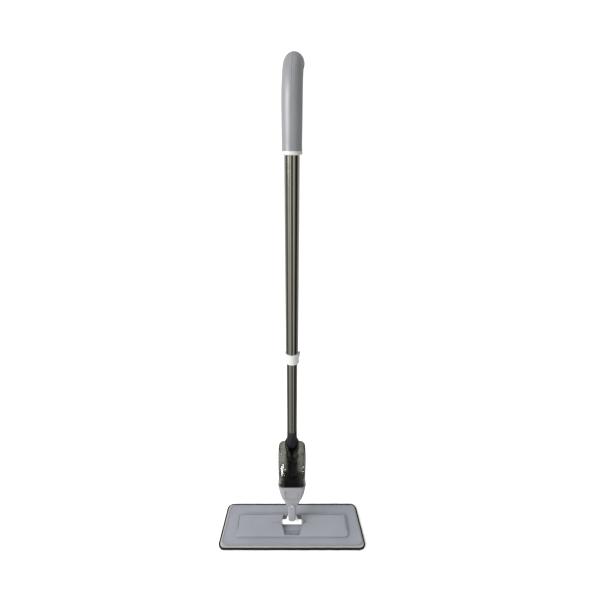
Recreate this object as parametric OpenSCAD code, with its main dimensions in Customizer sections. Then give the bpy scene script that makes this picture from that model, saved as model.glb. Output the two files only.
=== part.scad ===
/* [Pad and plate] */
// Width of the pad along its front edge
pad_front_w = 412; // [396:1:430]
// Width of the pad along its back edge
pad_back_w = 393; // [380:1:410]
// Depth of the pad, front to back
pad_d = 135; // [130:1:142]
// Thickness of the pad
pad_h = 7; // [6:0.5:9]
// How far the plate's edge stays inside the pad's edge
plate_margin = 9; // [7:0.5:11]
// Thickness of the plate's flange
flange_h = 3.5; // [3:0.5:4]
// Width of the raised platform
platform_w = 316; // [300:1:330]
// Height of the platform above the flange
platform_h = 8; // [7.5:0.5:8.5]

/* [Swivel joint] */
// Height of the side-to-side hinge axis, on which the head pitches
pitch_z = 20.5; // [20:0.5:22]
// Height of the front-to-back pin axis, on which the handle rolls
roll_z = 50; // [50:0.5:54]
// Length of the white yoke bar
yoke_w = 54.6; // [52:0.2:55]
// Width of the neck
neck_w = 22; // [21:0.5:23]

/* [Handle] */
// Outer diameter of the lower steel tube
tube_d = 25; // [24.6:0.1:25.2]
// Outer diameter of the upper steel tube
upper_tube_d = 28; // [27.6:0.1:28.2]
// Wall of the steel tubes
tube_wall = 0.8; // [0.7:0.05:0.9]
// Bottom of the lower tube
tube_bottom_z = 370; // [366:1:374]
// Middle of the white connector between the tubes
connector_z = 584; // [570:1:600]
// Bottom of the grip's shells
grip_z = 1014; // [1000:1:1020]
// Length of the grip's straight stretch
grip_straight = 75; // [74:1:77]
// Outer radius of the grip
grip_r = 17.6; // [17.4:0.1:17.8]
// Turn of the grip about the tube, to the right
grip_yaw = 6; // [0:1:8]

/* [Bottle and housing] */
// Width of the bottle
bottle_w = 70; // [69:0.5:71]
// Top of the bottle
bottle_top_z = 330; // [328:1:332]
// Wall of the bottle
bottle_wall = 1.8; // [1.6:0.1:2]
// Bottom of the pump housing
housing_bottom_z = 110; // [109:0.5:111]
// Wall of the housing
housing_wall = 2.2; // [2:0.1:2.4]

/* [Hidden] */
$fn = 64;
eps = 0.01;
big = 400;

// Colours
grey = [0.62, 0.63, 0.66];
white = [0.94, 0.95, 0.95];
navy = [0.09, 0.11, 0.13];
black = [0.07, 0.07, 0.07];
steel = [0.62, 0.61, 0.58];
smoke = [0.40, 0.41, 0.37, 0.45];
cloth = [0.72, 0.72, 0.69];

// Fits
run_gap = 0.06;
body_gap = 0.4;

// Plate levels
strip_h = 1;
plate_z = pad_h + strip_h;
flange_z = plate_z + flange_h;
platform_z = flange_z + platform_h;
pocket_floor_z = plate_z + 1.8;
platform_front_y = -39;
platform_back_y = 27;
pocket_back_y = 22;
pocket_front_y = -36;
pocket_w = yoke_w + 3;
hinge_pin_r = 2.5;
roll_pin_r = 3;
bar_r = 6.3;
binding_w = 3.8;
binding_low_z = 1.2;
binding_high_z = pad_h - 0.8;
neck_r = neck_w / 2;
yoke_blade_t = 10.4;
neck_t = 23;

// Tubes
tube_r = tube_d / 2;
tube_in_r = tube_r - tube_wall;
spigot_r = tube_in_r - 0.05;
upper_r = upper_tube_d / 2;
upper_spigot_r = upper_r - tube_wall - 0.05;
tube_top_z = grip_z + 38;
rod_r = 2.5;

// Rim between bottle and housing: a plane that falls towards the back
rim_front_y = -44;
rim_front_z = 219;
rim_slope = 14;

// Pump on the handle's axis, and the bottle's mouth in front of it
pump_bottom_z = 124;
pump_top_z = 170;
pump_bore_r = 7;
pump_r = 9.5;
mouth_y = -28.5;
seat_z = 172;
nozzle_z = 116;
port_low_z = 149;
inlet_y = -23;
inlet_z = 160;
outlet_y = -12.2;
barb_r = 1.7;
piston_z = 138;
cap_r = 12.6;
cap_bottom_z = 212;
cap_top_z = 240;
post_top_z = cap_bottom_z + 1.6;
neck_bottle_r = 9.4;
chamber_z = 252;
saddle_r = 15;
split_y = -4;
panel_gap = 1.3;
panel_w = 32;
panel_low_z = 160;
panel_high_z = 206;
panel_depth = 1.2;
panel_line_w = 22;
panel_line_z = 152;

// Grip's curve: a long arc, then a short one, in the plane that the yaw turns
arc_1_r = 90;
arc_1_end = 32;
arc_2_r = 30;
arc_2_end = 88;
grip_wall = 2.6;
arc_z = grip_z + grip_straight;
arc_2_y = arc_1_r * (1 - cos(arc_1_end)) + arc_2_r * cos(arc_1_end);
arc_2_z = arc_z + (arc_1_r - arc_2_r) * sin(arc_1_end);
pivot_y = 11;
pivot_z = arc_z - 9;
trigger_w = 12;
trigger_pin_r = 1.5;

// ---- Outlines ----

function unit(v) = v / norm(v);

function arc_turn(a, b) = b - a > 180 ? b - a - 360 : b - a < -180 ? b - a + 360 : b - a;

// Points of the round corner at b, between a and c
function corner_arc(a, b, c, r, steps) =
    let (
        u = unit(a - b),
        w = unit(c - b),
        half = acos(u * w) / 2,
        mid = b + unit(u + w) * r / sin(half),
        first = b + u * r / tan(half) - mid,
        last = b + w * r / tan(half) - mid,
        start = atan2(first.y, first.x),
        turn = arc_turn(start, atan2(last.y, last.x))
    )
    [for (i = [0:steps]) mid + r * [cos(start + turn * i / steps), sin(start + turn * i / steps)]];

// Closed outline through the corners, each rounded with radius r
function rounded(corners, r, steps = 10) =
    let (n = len(corners))
    [for (i = [0:n - 1]) each corner_arc(
        corners[(i + n - 1) % n], corners[i], corners[(i + 1) % n], r, steps)];

// Corners of the pad's outline, moved in by inset
function pad_corners(inset) = [
    [-pad_front_w / 2 + inset, -pad_d / 2 + inset],
    [pad_front_w / 2 - inset, -pad_d / 2 + inset],
    [pad_back_w / 2 - inset, pad_d / 2 - inset],
    [-pad_back_w / 2 + inset, pad_d / 2 - inset]
];

module pad_outline(inset, r) {
    polygon(rounded(pad_corners(inset), r));
}

module rounded_rect(w, y0, y1, r, steps = 10) {
    polygon(rounded([[-w / 2, y0], [w / 2, y0], [w / 2, y1], [-w / 2, y1]], r, steps));
}

// ---- Placing ----

module along_x(z, y, from, to, r) {
    translate([from, y, z])
        rotate([0, 90, 0])
            cylinder(r = r, h = to - from);
}

module along_y(x, z, from, to, r) {
    translate([x, to, z])
        rotate([90, 0, 0])
            cylinder(r = r, h = to - from);
}

module span_z(from, to, r) {
    translate([0, 0, from])
        cylinder(r = r, h = to - from);
}

// A plan outline lifted from z0 to z1
module lift(z0, z1) {
    translate([0, 0, z0])
        linear_extrude(z1 - z0)
            children();
}

// A front-view outline (x, z) from y0 back to y1
module front_view(y0, y1) {
    translate([0, y1, 0])
        rotate([90, 0, 0])
            linear_extrude(y1 - y0)
                children();
}

// A side-view outline (y, z) over the width w
module side_view(w) {
    rotate([90, 0, 90])
        translate([0, 0, -w / 2])
            linear_extrude(w)
                children();
}

// Everything above the rim plane, moved up by gap
module above_rim(gap) {
    translate([0, rim_front_y, rim_front_z + gap])
        rotate([-rim_slope, 0, 0])
            translate([-big / 2, -big / 2, 0])
                cube(big);
}

// ---- Head ----

// Pocket in the platform: widest at the hinge, narrower at both ends
module pocket_plan() {
    half = pocket_w / 2;
    polygon([
        [-21, pocket_front_y], [21, pocket_front_y],
        [half, -9], [half, 9],
        [25.5, pocket_back_y], [-25.5, pocket_back_y],
        [-half, 9], [-half, -9]
    ]);
}

// Slope at the pocket's front, with slots that leave ribs across it
module pocket_ramp() {
    rise = 6.5;
    run = 21;
    slot_w = 2;
    rib_pitch = 4.6;
    intersection() {
        difference() {
            side_view(pocket_w)
                polygon([
                    [pocket_front_y, plate_z], [pocket_front_y + run, plate_z],
                    [pocket_front_y + run, pocket_floor_z],
                    [pocket_front_y, pocket_floor_z + rise]
                ]);
            for (i = [0:3])
                translate([-pocket_w / 2, pocket_front_y + 1.6 + rib_pitch * i, pocket_floor_z - 0.2])
                    cube([pocket_w, slot_w, rise + 5]);
        }
        lift(plate_z, platform_z)
            pocket_plan();
    }
}

// Crowned platform with a flat facet along its front, bounded above by an arch
crown_r = 4200;
facet_tilt = 11;
facet_y = -21;

module platform_block() {
    intersection() {
        lift(plate_z, platform_z)
            rounded_rect(platform_w, platform_front_y, platform_back_y, 7);
        front_view(-pad_d, pad_d)
            polygon([
                [-platform_w, plate_z - 1], [platform_w, plate_z - 1],
                for (i = [12:-1:-12])
                    let (x = platform_w * i / 24)
                    [x, platform_z - x * x / (2 * crown_r)]
            ]);
        translate([0, facet_y, platform_z])
            rotate([facet_tilt, 0, 0])
                translate([-big / 2, -big / 2, -big])
                    cube(big);
    }
}

// Groove in the platform's top, along its back and both ends
module platform_groove() {
    edge = 1.6;
    groove_w = 2.2;
    depth = 2;
    difference() {
        lift(platform_z - depth - 2, platform_z + 1)
            rounded_rect(platform_w - 2 * edge, platform_front_y - 20, platform_back_y - edge, 5.5);
        lift(platform_z - depth - 3, platform_z + 2)
            rounded_rect(platform_w - 2 * (edge + groove_w), platform_front_y - 21,
                platform_back_y - edge - groove_w, 3.5);
        // floor of the groove follows the crown
        front_view(-pad_d, pad_d)
            polygon([
                [-platform_w, plate_z - 1], [platform_w, plate_z - 1],
                for (i = [12:-1:-12])
                    let (x = platform_w * i / 24)
                    [x, platform_z - depth - x * x / (2 * crown_r)]
            ]);
        translate([-platform_w, -pad_d, 0])
            cube([2 * platform_w, pad_d + facet_y + 3, 100]);
    }
}

// Hollow under the platform, left open downwards with cross webs
module platform_hollow() {
    webs = 5;
    side = (platform_w - 8 - pocket_w) / 2 - 8;
    for (s = [-1, 1])
        for (i = [0:webs - 1]) {
            w = side / webs - 1.6;
            x = pocket_w / 2 + 6 + side / webs * (i + 0.5);
            translate([s * x - w / 2, platform_front_y + 9, plate_z - eps])
                cube([w, platform_back_y - platform_front_y - 14, platform_z - plate_z - 5.2]);
        }
}

module plate() {
    boss_r = 5.5;
    color(grey)
        difference() {
            union() {
                lift(plate_z, flange_z)
                    pad_outline(plate_margin, 13);
                platform_block();
                // raised lip round the flange
                difference() {
                    lift(plate_z, flange_z + 0.8)
                        pad_outline(plate_margin, 13);
                    lift(plate_z - 1, flange_z + 2)
                        pad_outline(plate_margin + 2, 11);
                }
                // hinge ears beside the pocket
                for (s = [-1, 1])
                    intersection() {
                        along_x(pitch_z, 0, s * pocket_w / 2 - 4, s * pocket_w / 2 + 4, boss_r);
                        translate([s * (pocket_w / 2 + 3) - 3, -10, plate_z])
                            cube([6, 20, 30]);
                    }
                for (s = [-1, 1])
                    translate([s * (pocket_w / 2 + 2) - 2, -boss_r, plate_z])
                        cube([4, 2 * boss_r, pitch_z - plate_z]);
            }
            difference() {
                lift(pocket_floor_z, platform_z + 1)
                    pocket_plan();
                pocket_ramp();
            }
            platform_hollow();
            platform_groove();
            along_x(pitch_z, 0, -pocket_w, pocket_w, hinge_pin_r);
        }
}

module hook_strips() {
    strip_w = 168;
    color(black)
        for (s = [-1, 1])
            for (y = [-45, 32])
                lift(pad_h, plate_z)
                    polygon(rounded([
                        [s * 98 - strip_w / 2, y], [s * 98 + strip_w / 2, y],
                        [s * 98 + strip_w / 2, y + 16], [s * 98 - strip_w / 2, y + 16]
                    ], 2, 4));
}

module mop_pad() {
    color(cloth)
        lift(0, pad_h)
            pad_outline(binding_w, 14);
}

module pad_binding() {
    color(black)
        difference() {
            lift(binding_low_z, binding_high_z)
                pad_outline(0, 18);
            lift(0, pad_h)
                pad_outline(binding_w, 14);
        }
}

module hinge_pins() {
    color(steel)
        for (s = [-1, 1]) {
            inner = s * (yoke_w / 2 - 12);
            outer = s * (pocket_w / 2 + 4);
            along_x(pitch_z, 0, min(inner, outer), max(inner, outer), hinge_pin_r);
        }
}

// ---- Yoke ----

module yoke() {
    ear_x = 12.2;
    ear_z = roll_z - 9;
    blade_top_r = 10;
    color(white)
        difference() {
            union() {
                along_x(pitch_z, 0, -yoke_w / 2, yoke_w / 2, bar_r);
                front_view(-yoke_blade_t / 2, yoke_blade_t / 2) {
                    polygon([
                        [-17, pitch_z], [17, pitch_z], [15, pitch_z + 8],
                        [ear_x, ear_z], [8.5, ear_z - 1],
                        [-8.5, ear_z - 1], [-ear_x, ear_z], [-15, pitch_z + 8]
                    ]);
                    translate([0, roll_z])
                        circle(r = blade_top_r);
                }
            }
            for (s = [-1, 1]) {
                inner = s * (yoke_w / 2 - 12.5);
                outer = s * (yoke_w / 2 + 1);
                along_x(pitch_z, 0, min(inner, outer), max(inner, outer), hinge_pin_r + run_gap);
            }
            along_y(0, roll_z, -10, 10, roll_pin_r + run_gap);
        }
}

// ---- Neck ----

module neck() {
    slot_top_z = roll_z + 15;
    tenon_z = housing_bottom_z - 0.1;
    lip_z = housing_bottom_z + housing_wall + 0.05;
    color(grey)
        difference() {
            union() {
                intersection() {
                    front_view(-neck_t, neck_t) {
                        translate([0, roll_z])
                            circle(r = neck_r);
                        translate([-neck_r, roll_z])
                            square([neck_w, tenon_z - roll_z]);
                    }
                    lift(0, 200)
                        rounded_rect(neck_w, -neck_t / 2, neck_t / 2, 5);
                }
                lift(tenon_z - 1, pump_bottom_z - 2)
                    rounded_rect(16.9, -8.45, 8.45, 3);
                // lip that the two shells trap
                lift(lip_z, lip_z + 3)
                    rounded_rect(20, -9.3, 9.3, 3);
            }
            translate([-neck_w, -yoke_blade_t / 2 - body_gap, 0])
                cube([2 * neck_w, yoke_blade_t + 2 * body_gap, slot_top_z]);
            along_y(0, roll_z, -neck_t / 2 + 1.5, neck_t, roll_pin_r);
        }
}

module roll_pin() {
    color(steel)
        union() {
            along_y(0, roll_z, -neck_t / 2 + 1.5, neck_t / 2 + 1.6, roll_pin_r);
            along_y(0, roll_z, neck_t / 2, neck_t / 2 + 1.6, roll_pin_r + 1.6);
        }
}

// ---- Pump housing ----

// Smooth taper from the neck up to the rim; inset gives the inner wall
module housing_form(inset, z_low) {
    levels = [
        [housing_bottom_z, 36, -16, 15, 9], [128, 44, -21.5, 16.5, 10.5],
        [150, 56, -29, 17.5, 12], [180, 65.5, -37.5, 18, 13], [225, 74, -48, 18, 14]
    ];
    hull()
        for (l = levels)
            translate([0, 0, max(l[0], z_low)])
                linear_extrude(0.1)
                    rounded_rect(l[1] - 2 * inset, l[2] + inset, l[3] - inset, l[4] - inset, 8);
}

module housing_shell() {
    floor_z = housing_bottom_z + housing_wall;
    difference() {
        housing_form(0, 0);
        above_rim(-body_gap / 2);
        difference() {
            housing_form(housing_wall, floor_z);
            lift(0, floor_z)
                square(big, center = true);
        }
        // seat for the neck's tenon
        lift(0, floor_z + 1)
            rounded_rect(17, -8.5, 8.5, 3);
    }
}

boss_points = [[-18.5, 132], [18.5, 132], [-23.6, 163], [23.6, 163]];

module screw_bosses(from, to) {
    for (p = boss_points)
        along_y(p.x, p.y, from, to, 3.2);
}

module screw_holes() {
    for (p = boss_points) {
        along_y(p.x, p.y, split_y - 6, 30, 1.5);
        along_y(p.x, p.y, 13.4, 30, 3);
    }
}

module housing_front() {
    color(grey)
        difference() {
            intersection() {
                union() {
                    housing_shell();
                    intersection() {
                        screw_bosses(split_y - 8, split_y);
                        housing_form(0.5, 0);
                    }
                }
                translate([-big / 2, -big, 0])
                    cube([big, big + split_y, big]);
            }
            screw_holes();
            panel_recess();
            along_y(0, 116, -40, 0, 4);
        }
}

module housing_rear() {
    color(grey)
        difference() {
            intersection() {
                union() {
                    housing_shell();
                    intersection() {
                        screw_bosses(split_y + 0.05, 18);
                        housing_form(0.5, 0);
                    }
                }
                translate([-big / 2, split_y + 0.05, 0])
                    cube([big, big, big]);
            }
            screw_holes();
            span_z(120, 260, tube_r + 0.05);
        }
}

// Front-view outline of the inset panel
module panel_outline(grow) {
    half = panel_w / 2 + grow;
    low = panel_low_z - grow;
    high = panel_high_z + grow;
    polygon(rounded([[-half, low], [half, low], [half, high], [-half, high]], 5, 8));
}

module panel_recess() {
    difference() {
        front_view(-60, -20)
            panel_outline(panel_gap);
        housing_form(panel_depth, 0);
    }
    // short line under the panel
    difference() {
        translate([-panel_line_w / 2, -60, panel_line_z])
            cube([panel_line_w, 40, 1.2]);
        housing_form(0.9, 0);
    }
}

module front_panel() {
    color(grey)
        difference() {
            intersection() {
                housing_form(0.35, 0);
                front_view(-60, -20)
                    panel_outline(0);
            }
            housing_form(panel_depth, 0);
        }
}

module housing_screws() {
    color(steel)
        for (p = boss_points)
            difference() {
                union() {
                    along_y(p.x, p.y, split_y - 5.5, 15, 1.5);
                    along_y(p.x, p.y, 13.4, 15.4, 2.9);
                }
                translate([p.x - 2, 14.6, p.y - 0.4])
                    cube([4, 3, 0.8]);
                translate([p.x - 0.4, 14.6, p.y - 2])
                    cube([0.8, 3, 4]);
            }
}

// Nozzle body through the housing's front, with the hose barb behind it
module spray_nozzle() {
    color(grey)
        difference() {
            union() {
                along_y(0, nozzle_z, -20, -9.5, 3.9);
                // flange behind the housing's wall, flat where it meets the floor
                intersection() {
                    along_y(0, nozzle_z, -13.4, -9.5, 5.4);
                    translate([-6, -14, housing_bottom_z + housing_wall + 0.4])
                        cube([12, 6, 12]);
                }
                translate([0, outlet_y, nozzle_z])
                    cylinder(r = barb_r, h = 9);
            }
            along_y(0, nozzle_z, -30, -10.3, 2);
            translate([0, outlet_y, nozzle_z])
                cylinder(r = 0.8, h = 12);
        }
}
module nozzle_tip() {
    color(white)
        difference() {
            union() {
                along_y(0, nozzle_z, -22.4, -20, 3.6);
                along_y(0, nozzle_z, -20, -15, 1.95);
            }
            along_y(0, nozzle_z, -30, -10, 0.6);
            along_y(0, nozzle_z, -23, -21.6, 1.8);
        }
}
module outlet_hose() {
    color(white)
        translate([0, outlet_y, 0])
            difference() {
                span_z(nozzle_z + 5.5, port_low_z, 2.5);
                span_z(nozzle_z + 5, port_low_z + 1, barb_r + 0.05);
            }
}
module inlet_hose() {
    color(white)
        translate([0, inlet_y, 0])
            difference() {
                span_z(inlet_z + 3.7, seat_z - 0.1, 3.3);
                span_z(inlet_z, seat_z + 1, 2.25);
            }
}

module pump_cylinder() {
    color(navy)
        difference() {
            union() {
                span_z(pump_bottom_z, pump_top_z, pump_r);
                // outlet port block over the hose
                translate([-3.4, -15, port_low_z])
                    cube([6.8, 8, 6]);
                // inlet arm and barb to the hose under the seat
                translate([-3.6, inlet_y - 3.6, inlet_z - 3.6])
                    cube([7.2, -inlet_y - 4, 7.2]);
                translate([0, inlet_y, inlet_z])
                    cylinder(r = 2.2, h = 6.4);
            }
            span_z(pump_bottom_z + 3, pump_top_z + 1, pump_bore_r);
            along_y(0, inlet_z, inlet_y, 0, 1.3);
            translate([0, inlet_y, inlet_z])
                cylinder(r = 1.3, h = 10);
            along_y(0, port_low_z + 3, outlet_y, 0, 1);
            translate([0, outlet_y, port_low_z - 1])
                cylinder(r = 1, h = 4);
        }
}

module pump_cap() {
    color(navy)
        difference() {
            union() {
                span_z(pump_top_z, pump_top_z + 3, pump_r + 1);
                span_z(pump_top_z - 5, pump_top_z + eps, pump_bore_r - 0.05);
            }
            span_z(pump_top_z - 6, pump_top_z + 4, rod_r + run_gap);
        }
}

// Piston, clipped to the foot of the rod
module pump_piston() {
    color(white)
        difference() {
            span_z(piston_z, piston_z + 8, pump_bore_r - run_gap);
            difference() {
                span_z(piston_z + 3, piston_z + 5, pump_bore_r + 1);
                span_z(piston_z, piston_z + 8, pump_bore_r - 1.2);
            }
            span_z(piston_z + 2, piston_z + 9, rod_r);
        }
}

module piston_seal() {
    color(black)
        difference() {
            span_z(piston_z + 3.05, piston_z + 4.95, pump_bore_r - 0.03);
            span_z(piston_z, piston_z + 8, pump_bore_r - 1.2);
        }
}

// Return spring between the piston and the pump's cap
module pump_spring() {
    wire_r = 0.5;
    coil_r = 5;
    from = piston_z + 8 + wire_r + 0.02;
    to = pump_top_z - 5 - wire_r - 0.02;
    turns = 6;
    sides = 8;
    per_turn = 14;
    rings = turns * per_turn;
    points = [
        for (i = [0:rings])
            for (j = [0:sides - 1])
                let (
                    a = 360 * i / per_turn,
                    z = from + (to - from) * i / rings,
                    b = 360 * j / sides,
                    r = coil_r + wire_r * cos(b)
                )
                [r * cos(a), r * sin(a), z + wire_r * sin(b)]
    ];
    faces = concat(
        [[for (j = [0:sides - 1]) j]],
        [
            for (i = [0:rings - 1])
                for (j = [0:sides - 1])
                    let (k = (j + 1) % sides)
                    [i * sides + j, (i + 1) * sides + j, (i + 1) * sides + k, i * sides + k]
        ],
        [[for (j = [sides - 1:-1:0]) rings * sides + j]]
    );
    color(steel)
        polyhedron(points, faces);
}

// ---- Bottle seat ----

// Block under the bottle that takes its cap, with the post that opens the valve
module bottle_seat() {
    color(navy)
        difference() {
            union() {
                intersection() {
                    lift(seat_z, 236)
                        rounded_rect(42, -39.4, -14.6, 5);
                    union() {
                        housing_form(housing_wall + 0.2, 0);
                        lift(rim_front_z + 1, 240)
                            rounded_rect(42, -39.4, -14.6, 5);
                    }
                }
                // barb for the hose
                translate([0, inlet_y, seat_z - 5])
                    cylinder(r = 2.2, h = 8);
            }
            translate([0, mouth_y, cap_bottom_z - 4])
                difference() {
                    cylinder(r = cap_r + body_gap, h = 40);
                    cylinder(r = 3, h = post_top_z - cap_bottom_z + 4);
                }
            translate([0, mouth_y, seat_z + 5])
                cylinder(r = 1, h = 60);
            along_y(0, seat_z + 5, mouth_y, inlet_y, 1);
            translate([0, inlet_y, seat_z - 6])
                cylinder(r = 1, h = 11);
        }
}

module seat_seal() {
    color(black)
        translate([0, mouth_y, cap_bottom_z - 4])
            difference() {
                cylinder(r = 9, h = 3.4);
                translate([0, 0, -1])
                    cylinder(r = 6, h = 6);
            }
}

// ---- Spine ----

// Dark core that joins the lower tube to the housing, with a flared plate behind the bottle
module spine() {
    column_r = 11.5;
    flare = [[-11, 262], [11, 262], [12, 292], [18, 304], [18, 322], [13, 334], [-13, 334],
        [-18, 322], [-18, 304], [-12, 292]];
    color(navy)
        difference() {
            union() {
                span_z(pump_top_z + 3.2, 330, column_r);
                span_z(326, tube_bottom_z, tube_r);
                span_z(318, 326 + eps, column_r + 0.5);
                span_z(tube_bottom_z - eps, tube_bottom_z + 32, spigot_r);
                front_view(9, 12)
                    polygon(flare);
            }
            span_z(150, tube_bottom_z + 26, 9.3);
            // guide for the rod at the top of the spigot
            span_z(tube_bottom_z, tube_bottom_z + 40, rod_r + 0.4);
        }
}

// ---- Tubes ----

module tube(from, to, r) {
    color(steel)
        difference() {
            span_z(from, to, r);
            span_z(from - 1, to + 1, r - tube_wall);
        }
}

module lower_tube() {
    tube(tube_bottom_z, connector_z - 0.5, tube_r);
}

module upper_tube() {
    tube(connector_z + 0.5, tube_top_z, upper_r);
}

// White ring with spigots up and down, and a small lip at its right
module tube_connector() {
    ring_r = 16;
    ring_h = 25;
    low = connector_z - ring_h / 2;
    high = connector_z + ring_h / 2;
    profile = [
        [6, connector_z - 38], [spigot_r - 0.6, connector_z - 38], [spigot_r, connector_z - 37],
        [spigot_r, connector_z - 0.5], [tube_r + 0.05, connector_z - 0.5], [tube_r + 0.05, low],
        [ring_r - 0.8, low], [ring_r, low + 0.8], [ring_r, low + 3], [ring_r - 0.4, low + 3.6],
        [ring_r - 0.4, high - 3.6], [ring_r, high - 3], [ring_r, high - 0.8], [ring_r - 0.8, high],
        [upper_r + 0.05, high], [upper_r + 0.05, connector_z + 0.5],
        [upper_spigot_r, connector_z + 0.5], [upper_spigot_r, connector_z + 37],
        [upper_spigot_r - 0.6, connector_z + 38], [6, connector_z + 38]
    ];
    color(white)
        union() {
            rotate_extrude()
                polygon(profile);
            translate([upper_r + 0.4, -5, high - 9])
                rotate([0, 12, 0])
                    cube([2.2, 10, 10.5]);
        }
}

module grip_collar() {
    low = grip_z - 7;
    profile = [
        [upper_r + 0.05, low], [grip_r - 1.2, low], [grip_r + 0.2, low + 1.4],
        [grip_r + 0.2, grip_z - 0.8], [grip_r - 0.2, grip_z], [upper_r + 0.05, grip_z]
    ];
    color(white)
        union() {
            rotate_extrude()
                polygon(profile);
            translate([grip_r - 1.1, -4, low + 1])
                cube([2, 8, 5]);
        }
}

// ---- Grip ----

// Half of a ring's cross-section: side is -1 for the left shell and 1 for the right
module ring_half(side, out_r, in_r) {
    intersection() {
        difference() {
            circle(r = out_r);
            circle(r = in_r);
        }
        translate([-2 * out_r, side > 0 ? -2 * out_r : 0.03])
            square([4 * out_r, 2 * out_r - (side > 0 ? 0.03 : 0)]);
    }
}

// A cross-section swept round a centre in the grip's plane, from angle a0 to a1
module arc_sweep(y, z, r, a0, a1) {
    translate([0, y, z])
        rotate([90, 0, 0])
            rotate([0, -90, 0])
                rotate([0, 0, a0])
                    rotate_extrude(angle = a1 - a0)
                        translate([r, 0])
                            children();
}

function arc_1_point(a) = [0, arc_1_r * (1 - cos(a)), arc_z + arc_1_r * sin(a)];
function arc_2_point(a) = [0, arc_2_y - arc_2_r * cos(a), arc_2_z + arc_2_r * sin(a)];

hang_angle = 72;
grip_screw_points = [arc_1_point(11), arc_2_point(46)];

module grip_tip(side, out_r, in_r) {
    end = arc_2_point(arc_2_end);
    translate(end)
        intersection() {
            difference() {
                sphere(r = out_r);
                sphere(r = in_r);
            }
            rotate([90 - arc_2_end, 0, 0])
                translate([side > 0 ? 0.03 : -big, -0.8, -big / 2])
                    cube([big - 0.03, big, big]);
        }
}

module grip_half(side) {
    inner = grip_r - grip_wall;
    thin = 0.1;
    difference() {
        union() {
            translate([0, 0, grip_z + 0.1])
                linear_extrude(grip_straight - 0.1)
                    rotate([0, 0, 90])
                        ring_half(side, grip_r, inner);
            // each stretch starts inside the one before, and is thinner by a hair
            arc_sweep(arc_1_r, arc_z, arc_1_r, -1.5, arc_1_end)
                ring_half(side, grip_r - thin, inner + thin);
            arc_sweep(arc_2_y, arc_2_z, arc_2_r, arc_1_end - 1.5, arc_2_end)
                ring_half(side, grip_r - 2 * thin, inner + 2 * thin);
            grip_tip(side, grip_r - 3 * thin, inner + 3 * thin);
            // clamping ribs on the tube
            for (z = [grip_z + 4, grip_z + 30])
                translate([0, 0, z])
                    linear_extrude(3)
                        rotate([0, 0, 90])
                            ring_half(side, inner + 0.5, upper_r + 0.05);
            // bosses for the screws and the hanging hole
            for (p = grip_screw_points)
                side_post(p, side, 3.6, 16);
            side_post(arc_2_point(hang_angle), side, 6.5, 16.2);
            side_post([0, pivot_y, pivot_z], side, 3.4, grip_r - 5);
        }
        // slot for the trigger
        translate([-trigger_w / 2 - body_gap, 2, grip_z + 12])
            cube([trigger_w + 2 * body_gap, 40, pivot_z + 7.5 - grip_z - 12]);
        along_x(arc_2_point(hang_angle).z, arc_2_point(hang_angle).y, -30, 30, 4);
        along_x(pivot_z, pivot_y, -12.6, 12.6, trigger_pin_r);
        for (p = grip_screw_points) {
            along_x(p.z, p.y, -12, 30, 1.4);
            along_x(p.z, p.y, 13, 30, 3);
        }
    }
}

// Round post from the split plane out to the shell
module side_post(p, side, r, reach) {
    along_x(p.z, p.y, side > 0 ? 0.03 : -reach, side > 0 ? reach : -0.03, r);
}

module turned() {
    rotate([0, 0, -grip_yaw])
        children();
}

module grip_left() {
    color(grey)
        turned()
            grip_half(-1);
}

module grip_right() {
    color(grey)
        turned()
            grip_half(1);
}

module grip_screws() {
    color(steel)
        turned()
            for (p = grip_screw_points)
                difference() {
                    union() {
                        along_x(p.z, p.y, -11.5, 14, 1.4);
                        along_x(p.z, p.y, 13, 15, 2.9);
                    }
                    translate([14.2, p.y - 0.4, p.z - 2])
                        cube([2, 0.8, 4]);
                    translate([14.2, p.y - 2, p.z - 0.4])
                        cube([2, 4, 0.8]);
                }
}

module trigger_pin() {
    color(steel)
        turned()
            along_x(pivot_z, pivot_y, -12.5, 12.5, trigger_pin_r);
}

// Curved finger lever with two prongs that lift the rod's head
module trigger() {
    outline = [
        [pivot_y - 4, pivot_z - 4], [pivot_y - 4, pivot_z + 4], [pivot_y + 4, pivot_z + 4],
        [21, pivot_z - 11], [29, pivot_z - 26], [35, pivot_z - 43], [31, pivot_z - 45],
        [25, pivot_z - 27], [17.5, pivot_z - 13]
    ];
    color(navy)
        turned()
            difference() {
                union() {
                    side_view(trigger_w)
                        polygon(rounded(outline, 1.6, 5));
                    for (s = [-1, 1])
                        translate([s * 4.7, 0, 0]) {
                            along_x(pivot_z, 0, -1.3, 1.3, 2);
                            translate([-1.3, 0, pivot_z - 1.4])
                                cube([2.6, pivot_y, 2.8]);
                        }
                }
                along_x(pivot_z, pivot_y, -20, 20, trigger_pin_r + run_gap);
                translate([-3.4, -5, pivot_z - 6])
                    cube([6.8, 11, 14]);
            }
}

module pull_rod() {
    color(steel)
        union() {
            span_z(piston_z + 2, pivot_z + 6, rod_r);
            span_z(pivot_z + 2.4, pivot_z + 5.4, 6.8);
        }
}

// ---- Bottle ----

module bottle_form(inset, z_low, z_cut) {
    levels = [
        [172, bottle_w - 6, -41, 8, 13], [238, bottle_w - 0.6, -44.2, 8, 14],
        [300, bottle_w, -44.5, 8, 14], [320, bottle_w - 1.6, -43, 7.8, 13.5],
        [327, bottle_w - 6, -39.5, 6, 12], [bottle_top_z, bottle_w - 14, -34.5, 2.5, 9.5]
    ];
    hull()
        for (l = levels)
            translate([0, 0, min(max(l[0], z_low), z_cut)])
                linear_extrude(0.1)
                    rounded_rect(l[1] - 2 * inset, l[2] + inset, l[3] - inset, l[4] - inset, 8);
}

// Channel in the back of the bottle that straddles the spine
module channel(r) {
    lift(100, 400) {
        circle(r = r);
        translate([-r, 0])
            square([2 * r, 60]);
    }
}

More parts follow.
